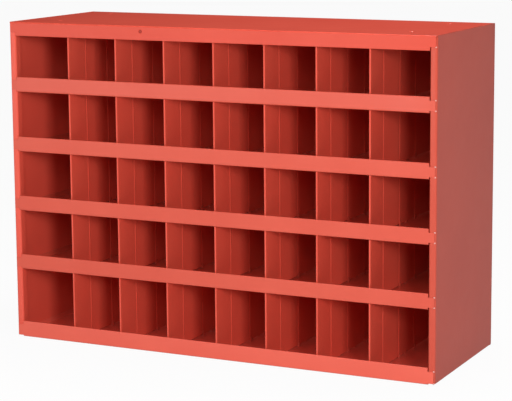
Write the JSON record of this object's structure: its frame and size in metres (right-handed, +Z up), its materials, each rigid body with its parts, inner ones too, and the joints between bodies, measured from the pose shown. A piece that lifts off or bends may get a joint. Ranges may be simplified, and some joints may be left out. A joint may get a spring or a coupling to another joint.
{
  "type": "pigeonhole sorter",
  "caption": "Open-fronted red painted steel pigeonhole sorter: a box case with lipped shelves and upright sheet dividers that form rows of open bins.",
  "frame": {"origin": "middle of the underside of the case", "axes": "+X to the right as seen from the open front, +Y from the open front to the back, +Z up"},
  "size_m": [0.8572, 0.3048, 0.6064],
  "materials": {
    "red_enamel": "semi-gloss baked red enamel on cold rolled steel sheet"
  },
  "bodies": {
    "root": {"left_side_panel": "red_enamel", "right_side_panel": "red_enamel", "top_panel": "red_enamel", "bottom_panel": "red_enamel", "back_panel": "red_enamel", "shelf_1": "red_enamel", "shelf_2": "red_enamel", "shelf_3": "red_enamel", "shelf_4": "red_enamel", "row_1_divider_1": "red_enamel", "row_1_divider_2": "red_enamel", "row_1_divider_3": "red_enamel", "row_1_divider_4": "red_enamel", "row_1_divider_5": "red_enamel", "row_1_divider_6": "red_enamel", "row_1_divider_7": "red_enamel", "row_2_divider_1": "red_enamel", "row_2_divider_2": "red_enamel", "row_2_divider_3": "red_enamel", "row_2_divider_4": "red_enamel", "row_2_divider_5": "red_enamel", "row_2_divider_6": "red_enamel", "row_2_divider_7": "red_enamel", "row_3_divider_1": "red_enamel", "row_3_divider_2": "red_enamel", "row_3_divider_3": "red_enamel", "row_3_divider_4": "red_enamel", "row_3_divider_5": "red_enamel", "row_3_divider_6": "red_enamel", "row_3_divider_7": "red_enamel", "row_4_divider_1": "red_enamel", "row_4_divider_2": "red_enamel", "row_4_divider_3": "red_enamel", "row_4_divider_4": "red_enamel", "row_4_divider_5": "red_enamel", "row_4_divider_6": "red_enamel", "row_4_divider_7": "red_enamel", "row_5_divider_1": "red_enamel", "row_5_divider_2": "red_enamel", "row_5_divider_3": "red_enamel", "row_5_divider_4": "red_enamel", "row_5_divider_5": "red_enamel", "row_5_divider_6": "red_enamel", "row_5_divider_7": "red_enamel"}
  },
  "joints": []
}
